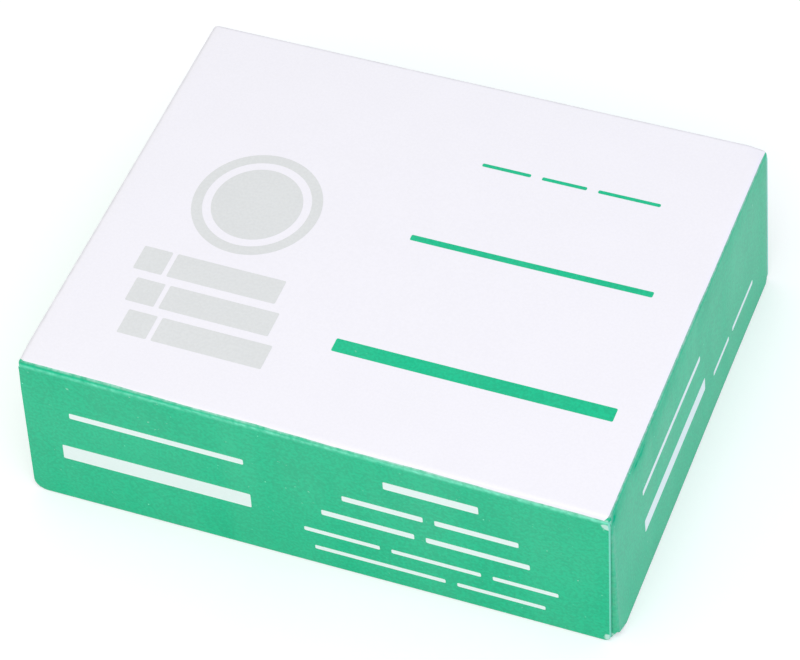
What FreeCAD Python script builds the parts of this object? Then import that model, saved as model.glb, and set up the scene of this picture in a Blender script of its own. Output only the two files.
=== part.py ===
# A closed box of fifty microscope slides: a folded paperboard lid whose skirt covers the whole
# height, a folded paperboard tray inside it, and fifty glass slides that stand in the tray.
# Millimetres, +Z up. The origin is the middle of the tray's underside, +X runs along the slides'
# long side and the front of the box faces -Y.
import FreeCAD, Part
import math
import os
from collections import namedtuple

import Sketcher

SIZES = (
    # alias, size, what it is
    ("slide_length", 76.2, "slide, long side"),
    ("slide_height", 25.4, "slide, short side, upright in the tray"),
    ("slide_thickness", 1.1, "slide, glass thickness"),
    ("ground_edge", 0.15, "bevel ground along every edge of a slide"),
    ("slide_count", 50, "slides in the tray"),
    ("slide_gap", 0.1, "between neighbouring slides"),
    ("stack_end_gap", 0.25, "between the stack and the glue flaps of the tray"),
    ("slide_end_gap", 1.6, "between a slide's end and the end wall of the tray"),
    ("head_room", 1.0, "between the slides and the lid"),
    ("board", 0.5, "paperboard thickness"),
    ("fit_gap", 0.3, "between the tray and the lid, on each side"),
    ("rim_gap", 0.2, "the lid's rim above the tray's underside"),
    ("fold_radius", 0.7, "outer radius where a wall folds off the flat panel"),
    ("corner_radius", 1.0, "outer radius where a glue flap folds off an end wall"),
    ("flap_length", 14.0, "glue flap, along the wall that it is glued to"),
    ("flap_taper", 2.0, "how much shorter a flap is along its rim side"),
    ("flap_relief", 0.8, "a flap's edges from the flat panel and from the rim"),
    ("glue_bite", 0.1, "how far the glue joins a flap into its wall"),
    ("cut_start", 0.9, "from the flat panel's outer face to where a long wall's cut end begins"),
    ("cut_inset", 0.25, "a long wall's cut end, from the corner of the shell"),
    ("tight_gape", 0.1, "how much further in a cut end is at the rim, where it lies tight"),
    ("rim_round", 0.8, "rounding of the rim corners of every wall that isn't worn"),
    # The lid's skirt has sprung outward, and its two front rim corners are worn.
    ("left_spring", 2.35, "left wall of the lid, outward at the rim"),
    ("right_spring", 0.25, "right wall of the lid, outward at the rim"),
    ("front_spring", 0.85, "front wall of the lid, outward at the rim"),
    ("back_spring", 0.2, "back wall of the lid, outward at the rim"),
    ("worn_round", 1.9, "the lid's front left rim corner, along the rim"),
    ("worn_rise", 4.0, "cut of the left wall there, up from the rim"),
    ("open_gape", 0.65, "the gape of the cut end at the lid's front right corner"),
    ("slant_run", 4.4, "slanted cut of the right wall there, along the rim"),
    ("slant_rise", 2.0, "the same, up from the rim"),
)

# Derived sizes, as expressions on the sheet. The tray is built out from the slides and the lid
# from the tray. A glue flap doubles the wall at both long sides of the tray and of the lid.
STACK = "(Sizes.slide_count * Sizes.slide_thickness + (Sizes.slide_count - 1) * Sizes.slide_gap)"
TRAY_HALF_X = "(Sizes.slide_length / 2 + Sizes.slide_end_gap + Sizes.board)"
TRAY_HALF_Y = f"({STACK} / 2 + Sizes.stack_end_gap + 2 * Sizes.board)"
TRAY_TOP = "(Sizes.board + Sizes.slide_height + Sizes.head_room)"
LID_HALF_X = f"({TRAY_HALF_X} + Sizes.fit_gap + Sizes.board)"
LID_HALF_Y = f"({TRAY_HALF_Y} + Sizes.fit_gap + 2 * Sizes.board)"
LID_TOP = f"({TRAY_TOP} + Sizes.board)"

# The corners in turn, with the signs of their X and Y.
CORNERS = {"front_left": (-1, -1), "front_right": (1, -1), "back_right": (1, 1), "back_left": (-1, 1)}
MARGIN = 0.5        # how far a cutting outline reaches past the board
END_MARGIN = 0.1    # how far a long wall's rounding reaches past its cut end
OVERSHOOT = 0.2     # how far a slanted cut runs on past the rim, as a share of its rise
ARC_MARGIN = 0.02   # how far outside its wall a rounding starts, so that it crosses the wall
CLOSE = 0.01        # two heights this near are the same

# A folded shell: the height of its flat panel's outer face, the way from there to the rim and
# the distance, half its outer length and width at the panel, how far each end wall and long
# wall has sprung outward at the rim, by its sign, and for each corner the gape of the long
# wall's cut end, the rounding of the long wall and the run and rise of the end wall's slant.
Shell = namedtuple("Shell", "name panel way depth half_x half_y spring_x spring_y gapes rounds slants")

doc = FreeCAD.newDocument("SlideBox")
sheet = doc.addObject("Spreadsheet::Sheet", "Sizes")
for row, (alias, size, note) in enumerate(SIZES, start=1):
    sheet.set(f"A{row}", note)
    sheet.set(f"B{row}", str(size))
    sheet.setAlias(f"B{row}", alias)
doc.recompute()


def number(expression):
    """The present value of an expression on the sheet."""
    return float(sheet.evalExpression(expression))


def new_sketch(body, name, role, offset):
    """A sketch on one of the body's origin planes, moved along that plane's normal."""
    sketch = body.newObject("Sketcher::SketchObject", name)
    plane = next(item for item in body.Origin.OriginFeatures if item.Role == role)
    sketch.AttachmentSupport = (plane, [""])
    sketch.MapMode = "FlatFace"
    sketch.setExpression("AttachmentOffset.Base.z", offset)
    return sketch


def draw(sketch, points, arc=None):
    """A closed outline through points, each a pair of expressions. An arc is given by the number
    of the side that it replaces, its radius and whether it runs anticlockwise."""
    spots = [FreeCAD.Vector(number(x), number(y), 0) for x, y in points]
    first = sketch.GeometryCount
    ends = {}
    for side, start in enumerate(spots):
        end = spots[(side + 1) % len(spots)]
        ends[side] = (1, 2)
        if arc and arc[0] == side:
            radius, anticlockwise = number(arc[1]), arc[2]
            near, far = (start, end) if anticlockwise else (end, start)
            chord = far - near
            rise = math.sqrt(radius ** 2 - (chord.Length / 2) ** 2)
            across = FreeCAD.Vector(-chord.y, chord.x, 0).normalize()
            centre = (near + far) / 2 + across * rise
            circle = Part.Circle(centre, FreeCAD.Vector(0, 0, 1), radius)
            angles = [math.atan2(spot.y - centre.y, spot.x - centre.x) for spot in (near, far)]
            sketch.addGeometry(Part.ArcOfCircle(circle, *angles), False)
            ends[side] = (1, 2) if anticlockwise else (2, 1)
        else:
            sketch.addGeometry(Part.LineSegment(start, end), False)
    for side in range(len(spots)):
        after = (side + 1) % len(spots)
        joint = ("Coincident", first + side, ends[side][1], first + after, ends[after][0])
        sketch.addConstraint(Sketcher.Constraint(*joint))
    for side, (point, spot) in enumerate(zip(points, spots)):
        for kind, expression, size in zip(("DistanceX", "DistanceY"), point, spot):
            place = Sketcher.Constraint(kind, -1, 1, first + side, ends[side][0], size)
            sketch.setExpression(f"Constraints[{sketch.addConstraint(place)}]", expression)
    if arc:
        bend = Sketcher.Constraint("Radius", first + arc[0], number(arc[1]))
        sketch.setExpression(f"Constraints[{sketch.addConstraint(bend)}]", arc[1])


def level(shell, distance):
    """The height at a distance from the flat panel's outer face towards the rim."""
    return f"{shell.panel} + {shell.way} * ({distance})"


def share(shell, distance):
    """How far down the wall a distance is, from 0 at the flat panel to 1 at the rim."""
    return f"({distance}) / {shell.depth}"


def reach(shell, side, across, distance, inset):
    """How far from the middle a wall is, at a distance from the flat panel. side is the wall's
    sign on its own axis. across is 0 for an end wall, on X, and 1 for a long wall, on Y."""
    half, spring = ((shell.half_x, shell.spring_x), (shell.half_y, shell.spring_y))[across]
    return f"({half} + {share(shell, distance)} * {spring[side]} - ({inset}))"


def spot(shell, corner, distance, in_x, in_y):
    """A point set in from the outer faces at a corner, at a distance from the flat panel."""
    sign_x, sign_y = CORNERS[corner]
    return (f"{sign_x} * {reach(shell, sign_x, 0, distance, in_x)}",
            f"{sign_y} * {reach(shell, sign_y, 1, distance, in_y)}")


def wedge(body, kind, name, shell, panel, inset):
    """The space inside four sprung walls, from a distance off the flat panel to the rim."""
    feature = body.newObject(kind, name)
    plane = next(item for item in body.Origin.OriginFeatures if item.Role == "XZ_Plane")
    feature.AttachmentSupport = (plane, [""])
    feature.MapMode = "FlatFace"
    near, far = (panel, shell.depth) if shell.way > 0 else (shell.depth, panel)
    # The wedge's own Y is the shell's Z, and its own Z is the shell's -Y.
    for prefix, distance in (("", near), ("2", far)):
        for end, side in (("min", -1), ("max", 1)):
            feature.setExpression(f"X{prefix}{end}", f"{side} * {reach(shell, side, 0, distance, inset)}")
            feature.setExpression(f"Z{prefix}{end}", f"{side} * {reach(shell, -side, 1, distance, inset)}")
    feature.setExpression("Ymin", level(shell, near))
    feature.setExpression("Ymax", level(shell, far))
    return feature


def loft(body, kind, name, shell, distances, outline, arc=None):
    """A ruled loft between the outline at one distance from the flat panel and at another."""
    sketches = []
    for end, distance in zip(("start", "rim"), distances):
        sketch = new_sketch(body, f"{name}_{end}", "XY_Plane", level(shell, distance))
        draw(sketch, outline(distance), arc)
        sketches.append(sketch)
    feature = body.newObject(kind, name)
    feature.Profile = sketches[0]
    feature.Sections = [sketches[1]]
    feature.Ruled = True
    return feature


def round_edges(body, name, base, radius, chosen):
    """A fillet on those edges of the base whose middle point is chosen."""
    doc.recompute()
    edges = base.Shape.Edges
    middles = [edge.valueAt((edge.FirstParameter + edge.LastParameter) / 2) for edge in edges]
    names = [f"Edge{index}" for index, middle in enumerate(middles, start=1) if chosen(middle)]
    fillet = body.newObject("PartDesign::Fillet", name)
    fillet.Base = (base, names)
    fillet.setExpression("Radius", radius)
    return fillet


def add_flap(body, shell, corner):
    """A glue flap, folded off the end wall and joined to the long wall's inner face."""
    sign_x, sign_y = CORNERS[corner]
    root, face = "(Sizes.board - Sizes.glue_bite)", "2 * Sizes.board"
    start, rim = "(Sizes.board + Sizes.flap_relief)", f"({shell.depth} - Sizes.flap_relief)"
    tips = {start: "(Sizes.board + Sizes.flap_length)",
            rim: "(Sizes.board + Sizes.flap_length - Sizes.flap_taper)"}
    bend = "(Sizes.corner_radius - Sizes.board)"
    bend_x = f"Sizes.board - {ARC_MARGIN}"

    def outline(distance):
        insets = ((root, root), (tips[distance], root), (tips[distance], face),
                  (f"{bend_x} + {bend}", face), (bend_x, f"{face} + {bend}"), (root, f"{face} + {bend}"))
        return [spot(shell, corner, distance, in_x, in_y) for in_x, in_y in insets]

    loft(body, "PartDesign::AdditiveLoft", f"{shell.name}_{corner}_flap", shell, (start, rim), outline,
         (3, bend, sign_x * sign_y < 0))


def cut_corner(body, shell, corner):
    """Leaves the long wall with a square cut end and the end wall's fold standing behind it."""
    sign_x, sign_y = CORNERS[corner]
    fold_y = "(Sizes.board + Sizes.corner_radius)"

    def outline(distance):
        inset = f"(Sizes.cut_inset + {share(shell, distance)} * {shell.gapes[corner]})"
        run = f"(Sizes.corner_radius - {ARC_MARGIN} - {inset})"
        meet_y = f"{fold_y} - sqrt(Sizes.corner_radius ^ 2 - {run} ^ 2)"
        insets = ((inset, -MARGIN), (-MARGIN, -MARGIN), (-MARGIN, fold_y), (-ARC_MARGIN, fold_y),
                  (inset, meet_y))
        return [spot(shell, corner, distance, in_x, in_y) for in_x, in_y in insets]

    loft(body, "PartDesign::SubtractiveLoft", f"{shell.name}_{corner}_cut", shell,
         ("Sizes.cut_start", shell.depth), outline, (3, "Sizes.corner_radius", sign_x * sign_y > 0))


def trim(body, name, role, offset, outlines, reverse):
    """Cuts outlines, each with its arc or none, through a wall from its inner side outwards."""
    sketch = new_sketch(body, name, role, offset)
    for points, arc in outlines:
        draw(sketch, points, arc)
    pocket = body.newObject("PartDesign::Pocket", f"{name}_pocket")
    pocket.Profile = sketch
    pocket.Type = "ThroughAll"
    pocket.Reversed = reverse


def round_long_wall(body, shell, side):
    """Rounds both ends of a long wall at the rim. side is the wall's sign on Y."""
    rim = level(shell, shell.depth)
    past = f"{rim} + {shell.way} * {MARGIN}"
    outlines = []
    for corner in (corner for corner, signs in CORNERS.items() if signs[1] == side):
        sign, radius = CORNERS[corner][0], shell.rounds[corner]
        edge = reach(shell, sign, 0, shell.depth, f"Sizes.cut_inset + {shell.gapes[corner]}")
        turn = f"({radius} - {ARC_MARGIN})"
        outer, inner = f"{sign} * ({edge} + {END_MARGIN})", f"{sign} * ({edge} - {turn})"
        height = f"{rim} - {shell.way} * {turn}"
        points = [(outer, past), (inner, past), (inner, f"{rim} + {shell.way} * {ARC_MARGIN}"),
                  (f"{sign} * ({edge} + {ARC_MARGIN})", height), (outer, height)]
        outlines.append((points, (2, radius, sign * shell.way < 0)))
    trim(body, f"{shell.name}_{'back' if side > 0 else 'front'}_rounding", "XZ_Plane",
         f"{-side} * ({shell.half_y} - 2 * Sizes.board)", outlines, side < 0)


def slant_end_wall(body, shell, side):
    """Cuts both ends of an end wall off at a slant at the rim. side is the wall's sign on X."""
    rim = level(shell, shell.depth)
    outlines = []
    for corner in (corner for corner, signs in CORNERS.items() if signs[0] == side):
        sign, (run, rise) = CORNERS[corner][1], shell.slants[corner]
        edge = reach(shell, sign, 1, shell.depth, "Sizes.board")
        past = f"{rim} + {shell.way} * {OVERSHOOT} * {rise}"
        points = [(f"{sign} * {edge}", past),
                  (f"{sign} * ({edge} - (1 + {OVERSHOOT}) * {run})", past),
                  (f"{sign} * {edge}", f"{rim} - {shell.way} * {rise}")]
        outlines.append((points, None))
    trim(body, f"{shell.name}_{'right' if side > 0 else 'left'}_slant", "YZ_Plane",
         f"{side} * ({shell.half_x} - (Sizes.board + Sizes.corner_radius))", outlines, side > 0)


def folded_shell(shell):
    """One folded sheet of board: a flat panel, four walls, and at both ends of each end wall a
    glue flap, which goes behind the long wall's cut end."""
    body = doc.addObject("PartDesign::Body", f"{shell.name}_body")
    body.Label = shell.name

    block = wedge(body, "PartDesign::AdditiveWedge", f"{shell.name}_block", shell, "0", "0")
    panel_z = number(shell.panel)
    round_edges(body, f"{shell.name}_folds", block, "Sizes.fold_radius",
                lambda middle: abs(middle.z - panel_z) < CLOSE)
    hollow = wedge(body, "PartDesign::SubtractiveWedge", f"{shell.name}_hollow", shell,
                   "Sizes.board", "Sizes.board")
    inner_z = number(level(shell, "Sizes.board"))
    round_edges(body, f"{shell.name}_inner_folds", hollow, "(Sizes.fold_radius - Sizes.board)",
                lambda middle: abs(middle.z - inner_z) < CLOSE)
    for corner in CORNERS:
        add_flap(body, shell, corner)
    for corner in CORNERS:
        cut_corner(body, shell, corner)
    for side in (-1, 1):
        round_long_wall(body, shell, side)
        slant_end_wall(body, shell, side)
    return body


def slide(index):
    """A glass slide with ground edges, standing on a long edge at its place in the stack."""
    body = doc.addObject("PartDesign::Body", f"slide_{index:02}_body")
    body.Label = f"slide_{index:02}"
    sketch = new_sketch(body, f"slide_{index:02}_face", "XZ_Plane", "-Sizes.slide_thickness / 2")
    half, top = "Sizes.slide_length / 2", "Sizes.slide_height"
    draw(sketch, [(f"-{half}", "0"), (half, "0"), (half, top), (f"-{half}", top)])
    pad = body.newObject("PartDesign::Pad", f"slide_{index:02}_glass")
    pad.Profile = sketch
    pad.setExpression("Length", "Sizes.slide_thickness")
    chamfer = body.newObject("PartDesign::Chamfer", f"slide_{index:02}_edges")
    chamfer.Base = (pad, [f"Edge{number}" for number in range(1, 13)])
    chamfer.setExpression("Size", "Sizes.ground_edge")
    pitch = "(Sizes.slide_thickness + Sizes.slide_gap)"
    body.setExpression("Placement.Base.y",
                       f"({index} - (Sizes.slide_count + 1) / 2) * {pitch}")
    body.setExpression("Placement.Base.z", "Sizes.board")
    return body


STILL = {-1: "0", 1: "0"}
TIGHT = dict.fromkeys(CORNERS, "Sizes.tight_gape")
ROUNDED = dict.fromkeys(CORNERS, "Sizes.rim_round")
SLANTED = dict.fromkeys(CORNERS, ("Sizes.rim_round", "Sizes.rim_round"))

tray = folded_shell(Shell("tray", "0", 1, TRAY_TOP, TRAY_HALF_X, TRAY_HALF_Y, STILL, STILL,
                          TIGHT, ROUNDED, SLANTED))
lid = folded_shell(Shell("lid", LID_TOP, -1, f"({LID_TOP} - Sizes.rim_gap)", LID_HALF_X, LID_HALF_Y,
                         {-1: "Sizes.left_spring", 1: "Sizes.right_spring"},
                         {-1: "Sizes.front_spring", 1: "Sizes.back_spring"},
                         TIGHT | {"front_right": "Sizes.open_gape"},
                         ROUNDED | {"front_left": "Sizes.worn_round"},
                         SLANTED | {"front_left": ("Sizes.worn_round", "Sizes.worn_rise"),
                                    "front_right": ("Sizes.slant_run", "Sizes.slant_rise")}))
subparts = [tray, lid] + [slide(index) for index in range(1, round(number("Sizes.slide_count")) + 1)]

doc.recompute()
for item in doc.Objects:
    if "Invalid" in item.State or "Error" in item.State:
        raise RuntimeError(f"{item.Name} failed: {item.State}")
for body in subparts:
    if body.Shape.isNull() or not body.Shape.isValid() or len(body.Shape.Solids) != 1:
        raise RuntimeError(f"{body.Label} is not one valid solid")

os.makedirs("parts", exist_ok=True)
for body in subparts:
    body.Shape.exportStep(f"parts/{body.Label}.step")
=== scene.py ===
"""A box of microscope slides: a green and white folding board lid over a board tray, which holds
fifty glass slides. The lid and the tray are each one die-cut sheet, folded and glued. The pieces
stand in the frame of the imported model, in metres."""

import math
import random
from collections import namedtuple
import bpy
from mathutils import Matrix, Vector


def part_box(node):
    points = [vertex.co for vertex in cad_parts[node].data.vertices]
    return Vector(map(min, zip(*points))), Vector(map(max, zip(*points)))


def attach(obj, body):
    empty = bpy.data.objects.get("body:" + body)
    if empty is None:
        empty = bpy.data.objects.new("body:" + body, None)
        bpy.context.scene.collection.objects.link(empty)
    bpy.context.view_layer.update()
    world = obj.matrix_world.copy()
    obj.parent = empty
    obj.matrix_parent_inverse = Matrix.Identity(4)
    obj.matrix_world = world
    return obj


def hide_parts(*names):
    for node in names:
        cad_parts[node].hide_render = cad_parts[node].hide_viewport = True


bl_info = {
    "name": "Box of Microscope Slides",
    "version": (1, 0, 0),
    "blender": (4, 5, 0),
    "location": "View3D > Sidebar > Slide Box",
    "description": "Builds a folding board box with fifty glass microscope slides",
    "category": "Add Mesh",
}

import bmesh
import bpy
from bpy.props import FloatProperty, FloatVectorProperty, PointerProperty
from mathutils import Matrix, Vector

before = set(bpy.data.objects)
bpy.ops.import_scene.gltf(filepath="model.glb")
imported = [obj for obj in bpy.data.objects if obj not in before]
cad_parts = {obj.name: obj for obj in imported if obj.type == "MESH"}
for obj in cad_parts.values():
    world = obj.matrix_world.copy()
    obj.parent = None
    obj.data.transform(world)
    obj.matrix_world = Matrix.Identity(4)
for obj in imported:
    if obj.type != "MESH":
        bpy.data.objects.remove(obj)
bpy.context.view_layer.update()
LID_LOW, LID_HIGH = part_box("lid")
TRAY_LOW, TRAY_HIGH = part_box("tray")
SLIDES = sorted(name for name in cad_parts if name.startswith("slide_"))
DOWN, FRONT, BACK, LEFT, RIGHT = (Vector(way) for way in ((0, 0, -1), (0, -1, 0), (0, 1, 0),
                                                          (-1, 0, 0), (1, 0, 0)))
MM = 0.001
HAIR = 0.01 * MM    # two places this near are the same
LID_DEPTH = LID_HIGH.z - LID_LOW.z


def linear(code):
    """The linear colour of an sRGB hex value."""
    parts = [int(code[start:start + 2], 16) / 255 for start in (1, 3, 5)]
    return [part / 12.92 if part <= 0.04045 else ((part + 0.055) / 1.055) ** 2.4 for part in parts]


def length(name, description, size):
    """A length property, with its default in millimetres."""
    return FloatProperty(name=name, description=description, default=size * MM, min=0,
                         unit="LENGTH", subtype="DISTANCE", precision=5)


def angle(name, description, degrees):
    """An angle property, with its default in degrees."""
    return FloatProperty(name=name, description=description, default=math.radians(degrees),
                         unit="ROTATION", subtype="ANGLE")


def colour(name, description, code):
    """A colour property, with its default as an sRGB hex value."""
    return FloatVectorProperty(name=name, description=description, default=linear(code), min=0,
                               max=1, size=3, subtype="COLOR")


class BoardSizes(bpy.types.PropertyGroup):
    """The folded sheets."""

    thickness: length("Board", "Thickness of the folding board", 0.5)
    fold_radius: length("Fold radius", "Outer radius where a wall folds off the flat panel", 0.7)
    corner_radius: length("Corner radius", "Outer radius where a glue flap folds off its wall", 1.0)
    tight_radius: length("Tight corner radius", "The same at the lid's right corners", 0.3)
    collar: length("Collar", "How far down the corners of the sheet are closed", 0.9)
    neck: length("Neck", "How far down a long wall's end has come out from the collar", 0.94)
    neck_inset: length("Neck inset", "A long wall's end there, from the corner", 0.2)
    shoulder: length("Shoulder", "How far down a long wall has its full width", 2.2)
    cut_inset: length("Cut inset", "A long wall's cut end, from the corner", 0.25)
    close_inset: length("Close inset", "The same at the lid's right corners", 0.05)
    gape: length("Gape", "How much further in a cut end is at the rim", 0.1)
    open_gape: length("Open gape", "The same at the lid's front right corner", 1.0)
    flap_length: length("Flap length", "Length of a glue flap", 14.0)
    flap_relief: length("Flap relief", "How far a flap's edge stays back from the rim", 0.8)
    glue_gap: length("Glue gap", "Between a flap and the wall that it is glued to", 0.02)
    open_gap: length("Open gap", "The same at the lid's front right corner", 0.15)
    rim_round: length("Rim rounding", "Rounding of the corners at the rim", 0.8)
    worn_round: length("Worn rounding", "Worn front left corner of the lid, along the rim", 1.9)
    worn_rise: length("Worn rise", "The same, up from the rim", 4.0)
    slant_run: length("Slant run", "Cut at the lid's front right corner, along the rim", 2.9)
    slant_rise: length("Slant rise", "The same, up from the rim", 1.6)
    slant_turn: length("Slant turn", "The same, along the flap", 0.8)
    left_spring: length("Left spring", "How far the lid's left wall has sprung out", 2.35)
    right_spring: length("Right spring", "How far the lid's right wall has sprung out", 0.25)
    front_spring: length("Front spring", "How far the front wall's left end has sprung out", 0.85)
    back_spring: length("Back spring", "How far the lid's back wall has sprung out", 0.2)
    sag: length("Sag", "How far the lid's panel has sunk in its middle", 0.25)
    unevenness: length("Unevenness", "How far the board wanders inward from flat", 0.12)
    crush: length("Crush", "How far the lid's back right corner is pushed down", 0.3)
    crush_reach: length("Crush reach", "How far the push spreads", 2.4)
    knock: length("Knock", "How far the lid's front left corner is pushed in", 0.14)
    knock_reach: length("Knock reach", "How far that push spreads", 4)
    scuff: length("Scuff", "Width of the scuffed edge at the lid's front right corner", 0.08)


class SlideSizes(bpy.types.PropertyGroup):
    """The slides."""

    frosted: length("Frosted end", "Length of a slide's frosted end", 20.0)


class PrintSizes(bpy.types.PropertyGroup):
    """The print on the lid."""

    ink: length("Ink", "How far the ink stands on the board", 0.012)
    corner: length("Corner", "Rounding of a printed bar's corners", 0.2)
    cut: length("Cut", "Spacing of the cuts that let the ink follow the board", 3)
    front_start: length("Front start", "Green edge over the front fold, at the left", 0.15)
    front_end: length("Front end", "Green edge over the front fold, at the right", 1.27)
    right_start: length("Right start", "Green edge over the right fold, at the front", 0.55)
    right_end: length("Right end", "Green edge over the right fold, at the back", 0.72)
    far_edge: length("Far edge", "Green edge over the left and the back fold", 1.5)
    lens_radius: length("Lens radius", "Outer radius of the figure's ring", 9)
    lens_ring: length("Lens ring", "Width of the figure's ring", 1.5)
    lens_gap: length("Lens gap", "Between the ring and its disc", 1.2)


class BoxColours(bpy.types.PropertyGroup):
    """The finishes."""

    white: colour("White", "Clay-coated board", "#F4F2F6")
    # A paler, greener copy of the white for the walls' bars: a green tint, and painted light
    # against the walls' dimmer lighting.
    reserved: colour("Reserved", "Clay-coated board between green ink", "#EEFCF7")
    green: colour("Green", "Green ink", "#09BF8B")
    # This pale green is cracked ink in the specks on the green, and along the lower edge of the
    # front fold it is partly a painted highlight as well.
    rubbed: colour("Rubbed", "Green ink that has cracked along a fold", "#7CF2CB")
    # A darker green laid over the curve of the front fold as painted shade; the ink there is no
    # different.
    painted_shade_green: colour("Shaded", "Green ink, whole and glossy, beside a fold", "#087A58")
    flaked: colour("Flaked", "Board where the ink has flaked off", "#CDF3E6")
    # This grey is real dirt in the specks on the white and along the right fold. Along the back and
    # left folds it is painted shade, and beside the front right cut end it is a painted sheen.
    worn: colour("Worn", "White board, rubbed grey along a fold", "#C9CACD")
    smeared: colour("Smeared", "Cut edge of the lid's board, with ink drawn over it", "#86E4C6")
    silver: colour("Silver", "Silver grey ink", "#DEE0DE")
    core: colour("Core", "Cut edge of the board", "#E9E6DE")
    lining: colour("Lining", "Uncoated side of the board", "#D8D4CA")
    glass: colour("Glass", "Soda-lime glass", "#E6F4EE")
    ground: colour("Ground glass", "Ground edge of soda-lime glass", "#CFE0DA")


class StageSizes(bpy.types.PropertyGroup):
    """The camera and the light."""

    azimuth: angle("Azimuth", "Camera, from the front towards the right", 27.435)
    elevation: angle("Elevation", "Camera, above the horizon", 50.224)
    roll: angle("Roll", "Camera, turned about its own line of sight", -7.582)
    distance: length("Distance", "Camera, from the point that it looks at", 417.95)
    focal_length: FloatProperty(name="Focal length", description="Lens, in millimetres",
                                default=138.62, min=1, unit="CAMERA")
    sky: FloatProperty(name="Sky", description="Strength of the sky", default=0.72, min=0)
    lamp_azimuth: angle("Lamp azimuth", "Lamp, from the front towards the right", 20)
    lamp_elevation: angle("Lamp elevation", "Lamp, above the horizon", 60)
    lamp_distance: length("Lamp distance", "Lamp, from the box", 620)
    lamp_width: length("Lamp width", "Width of the lamp's soft disc", 500)
    lamp: FloatProperty(name="Lamp", description="Power of the soft lamp, in watts", default=1.52,
                        min=0, unit="POWER")
    fill: FloatProperty(name="Fill", description="Power of the cool lamp at the right, in watts",
                        default=0.5, min=0, unit="POWER")
    fill_elevation: angle("Fill elevation", "Cool lamp, above the horizon", 15)
    cool: colour("Cool", "Colour of the cool lamp", "#2060FF")


# ---- modelling by hand, in code

def clear_selection():
    """Nothing selected, in object mode."""
    if bpy.context.object and bpy.context.object.mode != "OBJECT":
        bpy.ops.object.mode_set(mode="OBJECT")
    bpy.ops.object.select_all(action="DESELECT")


def edit(piece):
    """Starts to edit a piece's mesh."""
    clear_selection()
    bpy.context.view_layer.objects.active = piece
    bpy.ops.object.mode_set(mode="EDIT")


def pick(kind, test):
    """Selects in edit mode the vertices, edges or faces that lie wholly where the test is true."""
    bpy.ops.mesh.select_mode(type=kind[:-1].upper())
    bpy.ops.mesh.select_all(action="DESELECT")
    mesh = bmesh.from_edit_mesh(bpy.context.object.data)
    for item in getattr(mesh, kind):
        spots = [item] if kind == "verts" else item.verts
        item.select_set(all(test(spot.co) for spot in spots))
    mesh.select_flush_mode()
    bmesh.update_edit_mesh(bpy.context.object.data)


def cut_all(place, normal):
    """Cuts the whole mesh that is being edited along a plane."""
    bpy.ops.mesh.select_all(action="SELECT")
    bpy.ops.mesh.bisect(plane_co=place, plane_no=normal)


def pull(step):
    """Extrudes the selected edges by a step."""
    bpy.ops.mesh.extrude_region_move(TRANSFORM_OT_translate={"value": step})


def turn(radius, onward, after, count):
    """The steps of a quarter turn that starts onward and ends in the direction after."""
    angles = [math.pi / 2 * index / count for index in range(count + 1)]
    for start, end in zip(angles, angles[1:]):
        yield (Vector(onward) * (math.sin(end) - math.sin(start))
               + Vector(after) * (math.cos(start) - math.cos(end))) * radius


def near(value, target):
    """Whether two places along an axis are the same."""
    return abs(value - target) < HAIR


def apply_modifier(piece, kind, **settings):
    """Adds a modifier to a piece and applies it."""
    clear_selection()
    bpy.context.view_layer.objects.active = piece
    piece.select_set(True)
    modifier = piece.modifiers.new(kind.title(), kind)
    for setting, value in settings.items():
        setattr(modifier, setting, value)
    bpy.ops.object.modifier_apply(modifier=modifier.name)


def warp(piece, low, high, counts, interpolation, move):
    """Bends a piece with a lattice between two corners. move gives each lattice point's step from
    its place in the lattice, from 0 to 1 along each side."""
    clear_selection()
    bpy.ops.object.add(type="LATTICE", location=(low + high) / 2)
    cage = bpy.context.object
    cage.scale = high - low
    cage.data.points_u, cage.data.points_v, cage.data.points_w = counts
    for axis in "uvw":
        setattr(cage.data, f"interpolation_type_{axis}", interpolation)
    for point in cage.data.points:
        step = Vector(move(point.co + Vector((0.5, 0.5, 0.5))))
        point.co_deform = point.co + Vector(part / size for part, size in zip(step, cage.scale))
    bpy.context.view_layer.update()
    apply_modifier(piece, "LATTICE", object=cage)
    bpy.data.objects.remove(cage)


# ---- folded sheets

# A corner of a sheet: how far a long wall's cut end is from it, how much further at the rim, the
# wall's rounding there, the run, rise and turn of the end wall's cut, the radius of the fold
# between end wall and flap, and the gap between flap and long wall.
Corner = namedtuple("Corner", "inset gape long_round end_cut fold gap")

# How finely a sheet is divided: its flat panel both ways, a quarter turn off it and at an upright
# corner, a wall's depth, a flap's length and a rounding at the rim.
PANEL_COLUMNS, PANEL_ROWS, FOLD_STEPS, CORNER_STEPS = 24, 18, 5, 4
WALL_ROWS, FLAP_COLUMNS, ROUND_STEPS = 8, 3, 5
SMOOTH_ANGLE = math.radians(35)     # a sharper edge stays sharp in the shading
LINING_SLOT, EDGE_SLOT = 2, 4       # the material slots of a sheet's lining and its cut edges


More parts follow.
